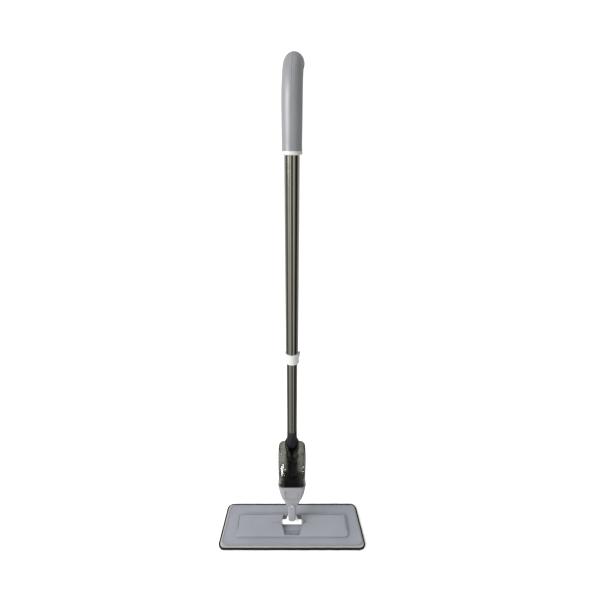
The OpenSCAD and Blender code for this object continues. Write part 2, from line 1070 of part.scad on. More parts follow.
module bottle() {
    channel_r = tube_r + 0.7;
    color(smoke)
        difference() {
            union() {
                difference() {
                    bottle_form(0, 0, 999);
                    difference() {
                        bottle_form(bottle_wall, chamber_z, bottle_top_z - bottle_wall);
                        channel(channel_r + bottle_wall);
                        saddle(saddle_r + bottle_wall);
                    }
                    // skirt under the chamber, open below and behind
                    difference() {
                        lift(100, chamber_z - bottle_wall)
                            rounded_rect(bottle_w - 4 - 2 * bottle_wall, -43.6 + bottle_wall, 60, 12);
                        bottle_ribs();
                    }
                }
                // mouth that carries the cap
                translate([0, mouth_y, cap_bottom_z + 12])
                    cylinder(r = neck_bottle_r, h = chamber_z - cap_bottom_z - 12);
            }
            channel(channel_r);
            below_rim();
            translate([0, mouth_y, cap_bottom_z + 11])
                cylinder(r = neck_bottle_r - 1.6, h = 60);
            saddle(saddle_r);
        }
}

// Saddle across the bottle's top, where the sleeve enters
module saddle(r) {
    along_y(0, bottle_top_z + 6, -60, 20, r);
}

// Two webs that stiffen the skirt beside the seat
module bottle_ribs() {
    for (s = [-1, 1])
        translate([s * 25.5 - 0.8, -44, 160])
            cube([1.6, 50, 100]);
}

// Everything under the rim plane, which the bottle stands clear of
module below_rim() {
    translate([0, rim_front_y, rim_front_z + body_gap / 2])
        rotate([-rim_slope, 0, 0])
            translate([-big / 2, -big / 2, -big])
                cube(big);
}

module bottle_cap() {
    color(navy)
        translate([0, mouth_y, 0])
            difference() {
                union() {
                    span_z(cap_bottom_z, cap_top_z - 4, cap_r);
                    for (i = [0:17])
                        rotate([0, 0, 20 * i])
                            translate([cap_r - 0.4, -0.7, cap_bottom_z + 1])
                                cube([0.6, 1.4, cap_top_z - cap_bottom_z - 7]);
                }
                span_z(cap_bottom_z + 10, cap_top_z, neck_bottle_r + 0.05);
                span_z(cap_bottom_z - 1, cap_top_z, 4);
            }
}

module cap_seal() {
    color(black)
        translate([0, mouth_y, 0])
            difference() {
                span_z(cap_bottom_z + 10, cap_bottom_z + 11.8, neck_bottle_r - 0.1);
                span_z(cap_bottom_z, cap_top_z, 6.4);
            }
}

// Plunger that closes the cap from inside
module cap_valve() {
    color(white)
        translate([0, mouth_y, 0])
            union() {
                span_z(cap_bottom_z + 2, cap_bottom_z + 11, 2);
                span_z(cap_bottom_z + 10.2, cap_bottom_z + 12.2, 5.6);
                span_z(cap_bottom_z + 12, cap_bottom_z + 19, 1.6);
            }
}

module valve_spring() {
    color(steel)
        translate([0, mouth_y, 0])
            for (i = [0:3])
                translate([0, 0, cap_bottom_z + 13.5 + 2.2 * i])
                    rotate_extrude()
                        translate([3.2, 0])
                            circle(r = 0.35, $fn = 16);
}

plate();
hook_strips();
mop_pad();
pad_binding();
hinge_pins();
yoke();
neck();
roll_pin();
housing_front();
housing_rear();
front_panel();
housing_screws();
spray_nozzle();
nozzle_tip();
outlet_hose();
inlet_hose();
pump_cylinder();
pump_cap();
pump_spring();
bottle_seat();
seat_seal();
spine();
lower_tube();
tube_connector();
upper_tube();
grip_collar();
grip_left();
grip_right();
grip_screws();
trigger_pin();
pull_rod();
pump_piston();
piston_seal();
trigger();
bottle();
bottle_cap();
cap_seal();
valve_spring();
cap_valve();
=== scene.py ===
"""Looks of the flat spray mop: materials on the CAD nodes, and the soft or smooth pieces made here."""

import math

import bpy
from mathutils import Matrix, Vector, noise


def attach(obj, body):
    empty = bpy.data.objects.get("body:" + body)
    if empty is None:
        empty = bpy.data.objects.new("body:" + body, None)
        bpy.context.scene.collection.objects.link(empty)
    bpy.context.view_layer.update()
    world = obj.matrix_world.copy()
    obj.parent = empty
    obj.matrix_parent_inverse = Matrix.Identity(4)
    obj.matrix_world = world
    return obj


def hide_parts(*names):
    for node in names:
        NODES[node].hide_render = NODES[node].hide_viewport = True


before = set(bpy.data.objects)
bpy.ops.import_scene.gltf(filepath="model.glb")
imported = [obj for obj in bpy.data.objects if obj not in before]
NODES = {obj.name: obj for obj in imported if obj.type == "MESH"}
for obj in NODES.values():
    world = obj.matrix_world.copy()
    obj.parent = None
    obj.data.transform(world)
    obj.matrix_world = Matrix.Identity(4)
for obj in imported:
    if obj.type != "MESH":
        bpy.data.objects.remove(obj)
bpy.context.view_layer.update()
MM = 0.001

# ---- Camera, at the photograph's viewing angle ----

CAMERA_PLACE = (0.0, -0.675, 1.02)
CAMERA_DOWN = 23.6
CAMERA_LENS = 21.0
CAMERA_SHIFT = 0.0133


def make_camera():
    data = bpy.data.cameras.new("camera")
    data.lens = CAMERA_LENS
    data.sensor_width = 36.0
    data.shift_x = CAMERA_SHIFT
    data.clip_start = 0.01
    data.clip_end = 200.0
    camera = bpy.data.objects.new("camera", data)
    camera.location = CAMERA_PLACE
    camera.rotation_euler = (math.radians(90 - CAMERA_DOWN), 0, 0)
    bpy.context.collection.objects.link(camera)
    bpy.context.scene.camera = camera


make_camera()

# ---- Meshes ----


def make_piece(name, verts, faces, runs=None):
    """A mesh object from millimetre points. runs gives each point's (along, across) in metres."""
    mesh = bpy.data.meshes.new(name)
    mesh.from_pydata([Vector(v) * MM for v in verts], [], faces)
    mesh.update()
    if runs:
        layer = mesh.uv_layers.new(name="run")
        for loop in mesh.loops:
            layer.data[loop.index].uv = runs[loop.vertex_index]
    piece = bpy.data.objects.new(name, mesh)
    bpy.context.collection.objects.link(piece)
    return piece


def band_faces(rings, count):
    """Quads between rings of count points each."""
    faces = []
    for k in range(rings - 1):
        for i in range(count):
            j = (i + 1) % count
            faces.append([k * count + i, k * count + j, (k + 1) * count + j, (k + 1) * count + i])
    return faces


def cap_faces(rings, count):
    """The two end faces of a stack of rings."""
    top = (rings - 1) * count
    return [list(range(count))[::-1], [top + i for i in range(count)]]


WELD_DISTANCE = 2e-6
SMOOTH_ANGLE = 32


def soften_group():
    """Geometry nodes that weld the mesh and shade it smooth up to an angle."""
    group = bpy.data.node_groups.new("smooth_to_angle", "GeometryNodeTree")
    group.interface.new_socket("Geometry", in_out="INPUT", socket_type="NodeSocketGeometry")
    group.interface.new_socket("Geometry", in_out="OUTPUT", socket_type="NodeSocketGeometry")
    nodes, links = group.nodes, group.links
    start = nodes.new("NodeGroupInput")
    end = nodes.new("NodeGroupOutput")
    weld = nodes.new("GeometryNodeMergeByDistance")
    weld.inputs["Distance"].default_value = WELD_DISTANCE
    faces = nodes.new("GeometryNodeSetShadeSmooth")
    edges = nodes.new("GeometryNodeSetShadeSmooth")
    edges.domain = "EDGE"
    edges.inputs["Shade Smooth"].default_value = False
    angle = nodes.new("GeometryNodeInputMeshEdgeAngle")
    sharp = nodes.new("FunctionNodeCompare")
    sharp.operation = "GREATER_THAN"
    sharp.inputs[1].default_value = math.radians(SMOOTH_ANGLE)
    links.new(angle.outputs["Unsigned Angle"], sharp.inputs[0])
    links.new(sharp.outputs[0], edges.inputs["Selection"])
    links.new(start.outputs[0], weld.inputs["Geometry"])
    links.new(weld.outputs["Geometry"], faces.inputs["Geometry"])
    links.new(faces.outputs["Geometry"], edges.inputs["Geometry"])
    links.new(edges.outputs["Geometry"], end.inputs[0])
    return group


SOFTEN = soften_group()


def soften(piece):
    """Round faces shade smooth and true edges stay crisp."""
    normals = piece.data.attributes.get("custom_normal")
    if normals:
        piece.data.attributes.remove(normals)
    piece.modifiers.new("smooth_to_angle", "NODES").node_group = SOFTEN


def carve(piece, tool, operation="DIFFERENCE"):
    """Cuts, joins or intersects piece with tool, and removes the tool."""
    step = piece.modifiers.new("carve", "BOOLEAN")
    step.operation = operation
    step.solver = "EXACT"
    step.object = tool
    graph = bpy.context.evaluated_depsgraph_get()
    mesh = bpy.data.meshes.new_from_object(piece.evaluated_get(graph))
    piece.modifiers.clear()
    piece.data = mesh
    bpy.data.objects.remove(tool)
    return piece


def rod_tool(radius, start, end, sides=72):
    """A round cutter between two points, in millimetres."""
    start, end = Vector(start), Vector(end)
    turn = (end - start).to_track_quat("Z", "Y").to_matrix()
    ring = [
        turn @ Vector((radius * math.cos(a), radius * math.sin(a), 0))
        for a in (2 * math.pi * i / sides for i in range(sides))
    ]
    verts = [start + p for p in ring] + [end + p for p in ring]
    return make_piece("tool", verts, band_faces(2, sides) + cap_faces(2, sides))


def prism_tool(outline, low, high):
    """A cutter with a plan outline, from low to high, in millimetres."""
    n = len(outline)
    verts = [(x, y, low) for x, y in outline] + [(x, y, high) for x, y in outline]
    return make_piece("tool", verts, band_faces(2, n) + cap_faces(2, n))


def rounded(corners, radius, steps=10):
    """Closed outline through the corners, anticlockwise, each rounded."""
    points = []
    n = len(corners)
    for i in range(n):
        b = Vector(corners[i])
        u = (Vector(corners[i - 1]) - b).normalized()
        w = (Vector(corners[(i + 1) % n]) - b).normalized()
        half = math.acos(max(-1, min(1, u.dot(w)))) / 2
        mid = b + (u + w).normalized() * radius / math.sin(half)
        first = b + u * radius / math.tan(half) - mid
        last = b + w * radius / math.tan(half) - mid
        start = math.atan2(first.y, first.x)
        turn = math.atan2(last.y, last.x) - start
        turn = (turn + math.pi) % (2 * math.pi) - math.pi
        for k in range(steps + 1):
            a = start + turn * k / steps
            points.append((mid.x + radius * math.cos(a), mid.y + radius * math.sin(a)))
    return points


def plan_rect(w, y0, y1, r, steps=10):
    return rounded([(-w / 2, y0), (w / 2, y0), (w / 2, y1), (-w / 2, y1)], r, steps)


def eased(levels, z):
    """The row of levels at height z, on a smooth curve that doesn't overshoot."""
    i = max(0, min(len(levels) - 2, sum(z >= row[0] for row in levels) - 1))
    a, b = levels[i], levels[i + 1]
    h = b[0] - a[0]
    t = max(0.0, min(1.0, (z - a[0]) / h))

    def secant(j, k):
        return (levels[j + 1][k] - levels[j][k]) / (levels[j + 1][0] - levels[j][0])

    def slope(j, k):
        if j == 0 or j == len(levels) - 1:
            return secant(min(j, len(levels) - 2), k)
        p, q = secant(j - 1, k), secant(j, k)
        return 0.0 if p * q <= 0 else 2 * p * q / (p + q)

    row = [z]
    for k in range(1, len(a)):
        row.append(
            a[k] * (2 * t ** 3 - 3 * t ** 2 + 1)
            + b[k] * (3 * t ** 2 - 2 * t ** 3)
            + h * slope(i, k) * (t ** 3 - 2 * t ** 2 + t)
            + h * slope(i + 1, k) * (t ** 3 - t ** 2)
        )
    return row


def loft(name, levels, heights, inset=0.0):
    """A closed body whose sections are rounded rectangles, eased between the levels."""
    verts = []
    for z in heights:
        w, y0, y1, r = eased(levels, z)[1:]
        outline = plan_rect(w - 2 * inset, y0 + inset, y1 - inset, r - inset)
        verts += [(x, y, z) for x, y in outline]
    rings = len(heights)
    count = len(verts) // rings
    return make_piece(name, verts, band_faces(rings, count) + cap_faces(rings, count))


def steps_between(low, high, step):
    count = max(1, round((high - low) / step))
    return [low + (high - low) * i / count for i in range(count + 1)]


# ---- Bottle and housing, rebuilt smooth ----

RIM_FRONT = (-44.0, 219.0)
RIM_SLOPE = 14.0
MOUTH_Y, MOUTH_Z = -28.5, 224.0
MOUTH_R, MOUTH_IN_R = 9.4, 7.8
SKIRT_W, SKIRT_FRONT_Y = 66.0, -43.6
BOTTLE_WALL = 1.8
BOTTLE_LOW, SHOULDER, BOTTLE_TOP = 172.0, 298.0, 330.0
CHAMBER_FLOOR = 252.0
CHANNEL_R = 13.2
SADDLE_R = 15.0
SADDLE_Z = BOTTLE_TOP + 6
BOTTLE_LEVELS = [
    [172, 64, -41, 8, 13], [238, 69.4, -44.2, 8, 14], [300, 70, -44.5, 8, 14],
    [320, 68.4, -43, 7.8, 13.5], [327, 64, -39.5, 6, 12], [330, 56, -34.5, 2.5, 9.5],
]
HOUSING_WALL = 2.2
HOUSING_LEVELS = [
    [110, 36, -16, 15, 9], [128, 44, -21.5, 16.5, 10.5], [150, 56, -29, 17.5, 12],
    [180, 65.5, -37.5, 18, 13], [225, 74, -48, 18, 14],
]
SPLIT_Y = -4.0
SEAM = 0.2


def rim_tool(gap, above):
    """A block on one side of the slanted rim plane."""
    big = 300.0
    low, high = (0.0, big) if above else (-big, 0.0)
    block = prism_tool([(-big, -big), (big, -big), (big, big), (-big, big)], low, high)
    place = Matrix.Translation(Vector((0, RIM_FRONT[0], RIM_FRONT[1] + gap)) * MM)
    block.data.transform(place @ Matrix.Rotation(math.radians(-RIM_SLOPE), 4, "X"))
    return block


def channel_tool(radius):
    """The slot in the bottle's back that straddles the spine."""
    arc = [math.radians(180 + 180 * i / 36) for i in range(37)]
    outline = [(radius * math.cos(a), radius * math.sin(a)) for a in arc]
    return prism_tool(outline + [(radius, 60), (-radius, 60)], 90, 410)


def saddle_tool(radius):
    return rod_tool(radius, (0, -60, SADDLE_Z), (0, 20, SADDLE_Z))


def make_bottle():
    heights = steps_between(BOTTLE_LOW, SHOULDER, 7) + steps_between(SHOULDER + 1.5, BOTTLE_TOP, 1.6)
    bottle = loft("bottle_shell", BOTTLE_LEVELS, heights)
    top = BOTTLE_TOP - BOTTLE_WALL
    heights = steps_between(CHAMBER_FLOOR, SHOULDER, 7) + steps_between(SHOULDER + 1.5, top, 1.6)
    chamber = loft("chamber", BOTTLE_LEVELS, heights, BOTTLE_WALL)
    carve(chamber, channel_tool(CHANNEL_R + BOTTLE_WALL))
    carve(chamber, saddle_tool(SADDLE_R + BOTTLE_WALL))
    carve(bottle, chamber)
    skirt = plan_rect(SKIRT_W - 2 * BOTTLE_WALL, SKIRT_FRONT_Y + BOTTLE_WALL, 60, 12)
    carve(bottle, prism_tool(skirt, 100, CHAMBER_FLOOR - BOTTLE_WALL))
    mouth = rod_tool(MOUTH_R, (0, MOUTH_Y, MOUTH_Z), (0, MOUTH_Y, CHAMBER_FLOOR - 0.6))
    carve(bottle, mouth, "UNION")
    carve(bottle, rod_tool(MOUTH_IN_R, (0, MOUTH_Y, MOUTH_Z - 1), (0, MOUTH_Y, CHAMBER_FLOOR + 18)))
    carve(bottle, channel_tool(CHANNEL_R))
    carve(bottle, rim_tool(0.2, False))
    carve(bottle, saddle_tool(SADDLE_R))
    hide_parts("bottle")
    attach(bottle, "bottle")
    soften(bottle)
    return bottle


PANEL_LOW, PANEL_HIGH, PANEL_HALF, PANEL_R = 160.0, 206.0, 16.0, 5.0
GROOVE = 1.4
PANEL_DEPTH, PANEL_SINK = 1.8, 0.35
PANEL_LINE_Z, PANEL_LINE_HALF, PANEL_LINE_H = 152.6, 11.0, 1.4
PANEL_LINE_R, PANEL_LINE_DEPTH = 0.6, 1.0
HOUSING_LOW, HOUSING_HIGH = 110.0, 225.0
NECK_SOCKET_W, NECK_SOCKET_R = 17.0, 3.0
NOZZLE_Z, NOZZLE_R = 116.0, 4.0
SCREW_R = 3.1
SCREW_PLACES = [(-18.5, 132), (18.5, 132), (-23.6, 163), (23.6, 163)]
SPINE_HOLE_R = 12.6


def housing_solid(name, inset, low=HOUSING_LOW):
    return loft(name, HOUSING_LEVELS, steps_between(low, HOUSING_HIGH, 4), inset)


def front_prism(low, high, half, radius):
    """A block through the housing's front, with a front-view outline."""
    outline = rounded([(-half, low), (half, low), (half, high), (-half, high)], radius, 8)
    block = prism_tool(outline, 20, 60)
    block.data.transform(Matrix.Rotation(math.radians(90), 4, "X"))
    return block


def cut_groove(shell, low, high, half, radius, depth):
    block = front_prism(low, high, half, radius)
    carve(block, housing_solid("groove_floor", depth))
    carve(shell, block)


def make_housing():
    shell = housing_solid("housing_front_shell", 0)
    carve(shell, housing_solid("inner", HOUSING_WALL, HOUSING_LOW + HOUSING_WALL))
    carve(shell, rim_tool(-0.2, True))
    half = NECK_SOCKET_W / 2
    carve(shell, prism_tool(plan_rect(NECK_SOCKET_W, -half, half, NECK_SOCKET_R), 100, 115))
    rear = bpy.data.objects.new("housing_rear_shell", shell.data.copy())
    bpy.context.collection.objects.link(rear)
    wide = 200.0
    front_half = [(-wide, -wide), (wide, -wide), (wide, SPLIT_Y + SEAM), (-wide, SPLIT_Y + SEAM)]
    rear_half = [(-wide, SPLIT_Y - SEAM), (wide, SPLIT_Y - SEAM), (wide, wide), (-wide, wide)]
    carve(shell, prism_tool(rear_half, 0, 400))
    carve(rear, prism_tool(front_half, 0, 400))
    grown = PANEL_HALF + GROOVE
    cut_groove(shell, PANEL_LOW - GROOVE, PANEL_HIGH + GROOVE, grown, PANEL_R + GROOVE, PANEL_DEPTH)
    line_low = PANEL_LINE_Z - PANEL_LINE_H / 2
    line_high = line_low + PANEL_LINE_H
    cut_groove(shell, line_low, line_high, PANEL_LINE_HALF, PANEL_LINE_R, PANEL_LINE_DEPTH)
    carve(shell, rod_tool(NOZZLE_R, (0, -40, NOZZLE_Z), (0, 0, NOZZLE_Z)))
    for x, z in SCREW_PLACES:
        carve(rear, rod_tool(SCREW_R, (x, 12.5, z), (x, 30, z), 40))
    carve(rear, rod_tool(SPINE_HOLE_R, (0, 0, 120), (0, 0, 260)))
    panel = front_prism(PANEL_LOW, PANEL_HIGH, PANEL_HALF, PANEL_R)
    panel.name = "panel_face"
    carve(panel, housing_solid("panel_outer", PANEL_SINK), "INTERSECT")
    carve(panel, housing_solid("panel_inner", PANEL_DEPTH))
    for piece, node in ((shell, "housing_front"), (rear, "housing_rear"), (panel, "front_panel")):
        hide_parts(node)
        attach(piece, "handle")
        soften(piece)
    return shell, rear, panel


# ---- Grip, swept smooth in two halves ----

GRIP_LOW, GRIP_STRAIGHT = 1014.0, 75.0
GRIP_R, GRIP_WALL = 18.0, 2.8
ARC_1_R, ARC_1_END = 90.0, math.radians(32)
ARC_2_R, ARC_2_END = 30.0, math.radians(88)
GRIP_YAW = 6.0
ARC_Z = GRIP_LOW + GRIP_STRAIGHT
ARC_2_Y = ARC_1_R * (1 - math.cos(ARC_1_END)) + ARC_2_R * math.cos(ARC_1_END)
ARC_2_Z = ARC_Z + (ARC_1_R - ARC_2_R) * math.sin(ARC_1_END)
PIVOT_Z = ARC_Z - 9
HANG_ANGLE = math.radians(72)
HANG_R, HANG_BOSS_R = 4.0, 6.5
SLOT_HALF = 6.4
# Angle along its arc in degrees, and whether that is the second arc
GRIP_SCREWS = [(11, False), (46, True)]
GRIP_SCREW_R = 3.0
GRIP_SEAM = 0.12
TIP_SQUARE, TIP_FLAT, TIP_ROWS = 0.8, 0.86, 11


def arc_point(angle, second):
    """A point of the grip's centre line as (y, z)."""
    if second:
        return ARC_2_Y - ARC_2_R * math.cos(angle), ARC_2_Z + ARC_2_R * math.sin(angle)
    return ARC_1_R * (1 - math.cos(angle)), ARC_Z + ARC_1_R * math.sin(angle)


def grip_stations(inset):
    """Rows of (y, z, lean, radius) up the grip: a flared foot, two arcs, then a round tip."""
    rows = []
    for z in steps_between(GRIP_LOW, ARC_Z, 2.5):
        foot = max(0.0, 1 - (z - GRIP_LOW) / 16) ** 2
        swell = 0.4 * math.sin(math.pi * (z - GRIP_LOW) / (2 * GRIP_STRAIGHT))
        rows.append((0.0, z, 0.0, GRIP_R - 0.2 + 0.5 * foot + swell))
    for i in range(1, 21):
        angle = ARC_1_END * i / 20
        y, z = arc_point(angle, False)
        rows.append((y, z, angle, GRIP_R + 0.2 - 0.4 * i / 20))
    for i in range(1, 21):
        angle = ARC_1_END + (ARC_2_END - ARC_1_END) * i / 20
        y, z = arc_point(angle, True)
        rows.append((y, z, angle, GRIP_R - 0.2 - 0.2 * i / 20))
    y, z, lean, r = rows[-1]
    for i in range(1, TIP_ROWS + 1):
        a = math.radians(88) * i / TIP_ROWS
        step = (r - inset) * math.sin(a) ** TIP_SQUARE * TIP_FLAT
        thick = r * math.cos(a) ** TIP_SQUARE
        rows.append((y + step * math.sin(lean), z + step * math.cos(lean), lean, thick))
    return rows


def grip_body(name, inset):
    """The grip's skin moved in by inset, as one closed body."""
    sides = 72
    verts = []
    rows = grip_stations(inset)
    last = len(rows) - TIP_ROWS - 1
    for k, (y, z, lean, r) in enumerate(rows):
        scale = r - inset if k <= last else r * (rows[last][3] - inset) / rows[last][3]
        for i in range(sides):
            a = 2 * math.pi * i / sides
            v = math.sin(a) * scale
            verts.append((math.cos(a) * scale, y + v * math.cos(lean), z - v * math.sin(lean)))
    return make_piece(name, verts, band_faces(len(rows), sides) + cap_faces(len(rows), sides))


def box_tool(low, high):
    (x0, y0, z0), (x1, y1, z1) = low, high
    return prism_tool([(x0, y0), (x1, y0), (x1, y1), (x0, y1)], z0, z1)


def make_grip():
    whole = grip_body("grip_shell_left", 0.0)
    inner = grip_body("inner", GRIP_WALL)
    # Lowered a little, so that the cut opens the foot
    inner.data.transform(Matrix.Translation(Vector((0, 0, -1)) * MM))
    carve(whole, inner)
    y, z = arc_point(HANG_ANGLE, True)
    carve(whole, rod_tool(HANG_BOSS_R, (-15, y, z), (15, y, z)), "UNION")
    carve(whole, rod_tool(HANG_R, (-30, y, z), (30, y, z)))
    slot_low, slot_high = GRIP_LOW + 12, PIVOT_Z + 7.5
    carve(whole, box_tool((-SLOT_HALF, 2, slot_low), (SLOT_HALF, 42, slot_high)))
    for angle, second in GRIP_SCREWS:
        y, z = arc_point(math.radians(angle), second)
        carve(whole, rod_tool(GRIP_SCREW_R, (12.8, y, z), (30, y, z), 40))
    other = bpy.data.objects.new("grip_shell_right", whole.data.copy())
    bpy.context.collection.objects.link(other)
    carve(whole, box_tool((-GRIP_SEAM, -60, 900), (60, 120, 1300)))
    carve(other, box_tool((-60, -60, 900), (GRIP_SEAM, 120, 1300)))
    for piece, node in ((whole, "grip_left"), (other, "grip_right")):
        piece.data.transform(Matrix.Rotation(math.radians(-GRIP_YAW), 4, "Z"))
        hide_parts(node)
        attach(piece, "handle")
        soften(piece)
    return whole, other


# ---- Pad and binding ----

PAD_FRONT_W, PAD_BACK_W, PAD_D, PAD_H = 412.0, 393.0, 135.0, 7.0
BINDING_W = 4.8
BINDING_LOW, BINDING_HIGH = 1.0, 6.8
PAD_EDGE, PAD_ROLL, PAD_CORNER_R, PAD_BACK_Z = 3.6, 3.4, 16.0, 1.7
BINDING_R = 18.0


def pad_corners(inset):
    return [
        (-PAD_FRONT_W / 2 + inset, -PAD_D / 2 + inset),
        (PAD_FRONT_W / 2 - inset, -PAD_D / 2 + inset),
        (PAD_BACK_W / 2 - inset, PAD_D / 2 - inset),
        (-PAD_BACK_W / 2 + inset, PAD_D / 2 - inset),
    ]


def walk_outline(inset, radius, count):
    """Evenly spaced points on the pad's outline: place, outward direction, distance along."""
    path = [Vector(p) for p in rounded(pad_corners(inset), radius, 16)]
    path.append(path[0])
    lengths = [0.0]
    for a, b in zip(path, path[1:]):
        lengths.append(lengths[-1] + (b - a).length)
    found = []
    k = 0
    for i in range(count):
        s = lengths[-1] * i / count
        while lengths[k + 1] < s:
            k += 1
        span = max(lengths[k + 1] - lengths[k], 1e-9)
        along = (path[k + 1] - path[k]).normalized()
        place = path[k] + (path[k + 1] - path[k]) * (s - lengths[k]) / span
        found.append((place, Vector((along.y, -along.x)), s))
    return found


def ripple(x, y, size, seed):
    return noise.noise(Vector((x / size, y / size, seed)))


def make_pad():
    """The pad's body: a cloth face above that rounds off under the binding, and a flat back below."""
    count = 720
    insets = [PAD_EDGE, 4.2, 5.0, 6.2, 8, 12, 20, 34, 50, 62]
    verts, runs = [], []
    for inset in insets:
        for place, out, s in walk_outline(inset, max(1.5, PAD_CORNER_R - inset), count):
            edge = min(1.0, (inset - PAD_EDGE) / PAD_ROLL)
            z = PAD_H - 1.4 + 1.35 * math.sin(edge * math.pi / 2)
            z += 0.16 * ripple(place.x, place.y, 14, 3) * edge
            verts.append((place.x, place.y, z))
            runs.append((place.x * MM, place.y * MM))
    rings = len(insets)
    faces = band_faces(rings, count)
    top_count = len(verts)
    faces.append([(rings - 1) * count + i for i in range(count)])
    for place, out, s in walk_outline(PAD_EDGE, PAD_CORNER_R - PAD_EDGE, count):
        verts.append((place.x, place.y, PAD_BACK_Z))
        runs.append((place.x * MM, place.y * MM))
    for i in range(count):
        j = (i + 1) % count
        faces.append([top_count + i, top_count + j, j, i])
    faces.append([top_count + i for i in range(count)][::-1])
    pad = make_piece("microfibre_pad", verts, faces, runs)
    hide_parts("mop_pad")
    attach(pad, "head")
    soften(pad)
    return pad


PILE_ROW = 4.2
PILE_LOOP = 3.0


def make_pile():
    """Rows of short yarn loops under the pad, each loop an arch that reaches the floor."""
    sides, bends = 5, 7
    verts, faces = [], []
    rows = int((PAD_D - 12) / PILE_ROW)
    for row in range(rows + 1):
        y = -PAD_D / 2 + 6 + PILE_ROW * row
        share = (y + PAD_D / 2) / PAD_D
        half = (PAD_FRONT_W + (PAD_BACK_W - PAD_FRONT_W) * share) / 2 - 7
        half -= max(0, 12 - (PAD_D / 2 - abs(y))) * 0.8
        loops = int(2 * half / PILE_LOOP)
        for k in range(loops):
            x = -half + (k + 0.5 * (row % 2)) * PILE_LOOP
            drift = Vector((ripple(x, y, 2.3, 11), ripple(x, y, 2.3, 12))) * 1.5
            lean = ripple(x, y, 9, 13) * 1.6
            drop = 1.5 + 0.5 * ripple(x, y, 3, 14)
            first = len(verts)
            for b in range(bends):
                a = math.pi * b / (bends - 1)
                centre = Vector((
                    x + drift.x + 1.5 * math.cos(a),
                    y + drift.y + lean * math.sin(a),
                    2.1 - drop * math.sin(a),
                ))
                for s in range(sides):
                    t = 2 * math.pi * s / sides
                    thick = 0.52
                    verts.append((
                        centre.x + thick * math.cos(t) * math.cos(a),
                        centre.y + thick * math.sin(t),
                        max(0.02, centre.z + thick * math.cos(t) * math.sin(a)),
                    ))
            for b in range(bends - 1):
                for s in range(sides):
                    q = (s + 1) % sides
                    c = first + b * sides
                    faces.append([c + s, c + q, c + sides + q, c + sides + s])
    pile = make_piece("microfibre_pile", verts, faces)
    for face in pile.data.polygons:
        face.use_smooth = True
    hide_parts("mop_pad")
    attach(pile, "head")
    return pile


STITCH = 2.3
BINDING_SQUARE = 0.62


def make_binding():
    """Black tape sewn over the pad's edge, slightly wavy, with overlock ribs."""
    count, sides = 1880, 18
    verts, runs, faces = [], [], []
    for place, out, s in walk_outline(BINDING_W / 2, BINDING_R - BINDING_W / 2, count):
        wave = 0.28 * ripple(place.x, place.y, 23, 5) + 0.12 * ripple(place.x, place.y, 7, 6)
        lift = 0.3 * ripple(place.x, place.y, 31, 8)
        rib = 0.09 * math.cos(2 * math.pi * s / STITCH)
        inner = 0.35 * ripple(place.x, place.y, 11, 9)
        for k in range(sides):
            a = 2 * math.pi * k / sides
            c, d = math.cos(a), math.sin(a)
            px = math.copysign(abs(c) ** BINDING_SQUARE, c)
            pz = math.copysign(abs(d) ** BINDING_SQUARE, d)
            wide = BINDING_W / 2 + rib + (0.15 if c > 0 else 0.35 + inner)
            tall = (BINDING_HIGH - BINDING_LOW) / 2 + rib
            at = place + out * (wide * px + wave)
            verts.append((at.x, at.y, (BINDING_HIGH + BINDING_LOW) / 2 + lift * 0.5 + tall * pz))
            runs.append((s * MM, k / sides * 0.02))
    for i in range(count):
        j = (i + 1) % count
        for k in range(sides):
            q = (k + 1) % sides
            faces.append([i * sides + k, j * sides + k, j * sides + q, i * sides + q])
    binding = make_piece("edge_binding", verts, faces, runs)
    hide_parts("pad_binding")
    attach(binding, "head")
    soften(binding)
    return binding


# ---- Materials ----


def new_material(name):
    material = bpy.data.materials.new(name)
    material.use_nodes = True
    return material, material.node_tree, material.node_tree.nodes["Principled BSDF"]


def feed(tree, socket, value):
    """Links the socket to another node's output, or sets it to a plain value."""
    if isinstance(value, bpy.types.NodeSocket):
        tree.links.new(value, socket)
    else:
        socket.default_value = value


def add(tree, kind, settings=None, **inputs):
    """A shader node with its settings and inputs. An input is a value or another node's output."""
    node = tree.nodes.new("ShaderNode" + kind)
    for key, value in (settings or {}).items():
        setattr(node, key, value)
    for key, value in inputs.items():
        name = key.replace("_", " ")
        socket = node.inputs[int(name[3:])] if name.startswith("at ") else node.inputs[name]
        feed(tree, socket, value)
    return node


def plug(tree, shader, **inputs):
    for key, value in inputs.items():
        feed(tree, shader.inputs[key.replace("_", " ")], value)


def rgb(r, g, b):
    return (r, g, b, 1.0)


def place_of(tree):
    return add(tree, "TexCoord").outputs["Object"]


def scaled(tree, vector, scale):
    return add(tree, "Mapping", Vector=vector, Scale=scale).outputs["Vector"]


def noise_of(tree, vector, scale, detail=3.0, rough=0.5):
    node = add(tree, "TexNoise", Vector=vector, Scale=scale, Detail=detail, Roughness=rough)
    return node.outputs["Fac"]


def remap(tree, value, low, high, to_low, to_high):
    span = {"From_Min": low, "From_Max": high, "To_Min": to_low, "To_Max": to_high}
    return add(tree, "MapRange", Value=value, **span).outputs["Result"]


def blend(tree, amount, first, second):
    """Mixes two colours. Places 0, 6 and 7 are the mix node's factor and its two colour inputs."""
    return add(tree, "Mix", {"data_type": "RGBA"}, at_0=amount, at_6=first, at_7=second).outputs[2]


def maths(tree, operation, first, second=0.0):
    return add(tree, "Math", {"operation": operation}, at_0=first, at_1=second).outputs[0]


def bump(tree, height, distance, strength=1.0, normal=None):
    node = add(tree, "Bump", Height=height, Distance=distance, Strength=strength)
    if normal:
        tree.links.new(normal, node.inputs["Normal"])
    return node.outputs["Normal"]


def shade(rgb_value, amount):
    return rgb(*[min(1.0, c * amount) for c in rgb_value])


